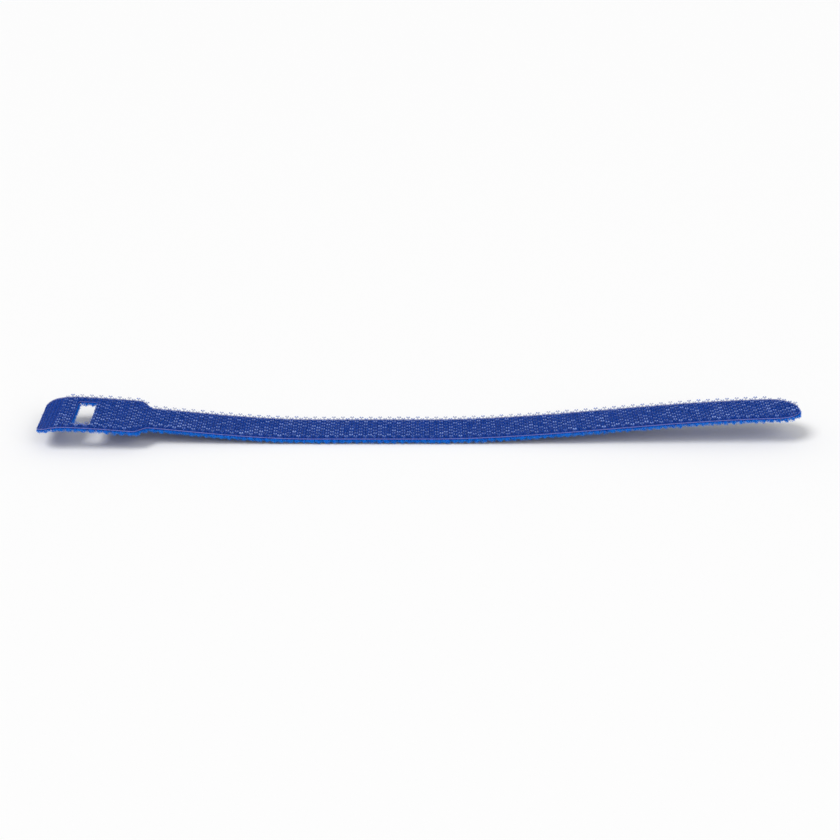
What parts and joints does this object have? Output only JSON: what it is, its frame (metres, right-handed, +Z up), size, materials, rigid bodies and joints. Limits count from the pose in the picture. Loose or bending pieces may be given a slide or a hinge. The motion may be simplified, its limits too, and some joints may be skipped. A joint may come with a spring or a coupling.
{
  "type": "hook and loop cable tie",
  "caption": "Reusable cable tie: clear moulded hooks bonded back to back with blue brushed loop fabric, slotted wide head, narrow tail with a rounded tip.",
  "frame": {"origin": "on the surface that the tie lies on, under the middle of its length and width", "axes": "+X along the tie from the slotted head to the rounded tip, +Y across it, +Z up through the loops and then the hooks"},
  "size_m": [0.2, 0.02, 0.0084],
  "materials": {
    "hook_tape": "clear to milky moulded nylon, satin",
    "loop_tape": "brushed knitted loops"
  },
  "bodies": {
    "root": {"hook_tape": "hook_tape", "loop_tape": "loop_tape"}
  },
  "joints": []
}
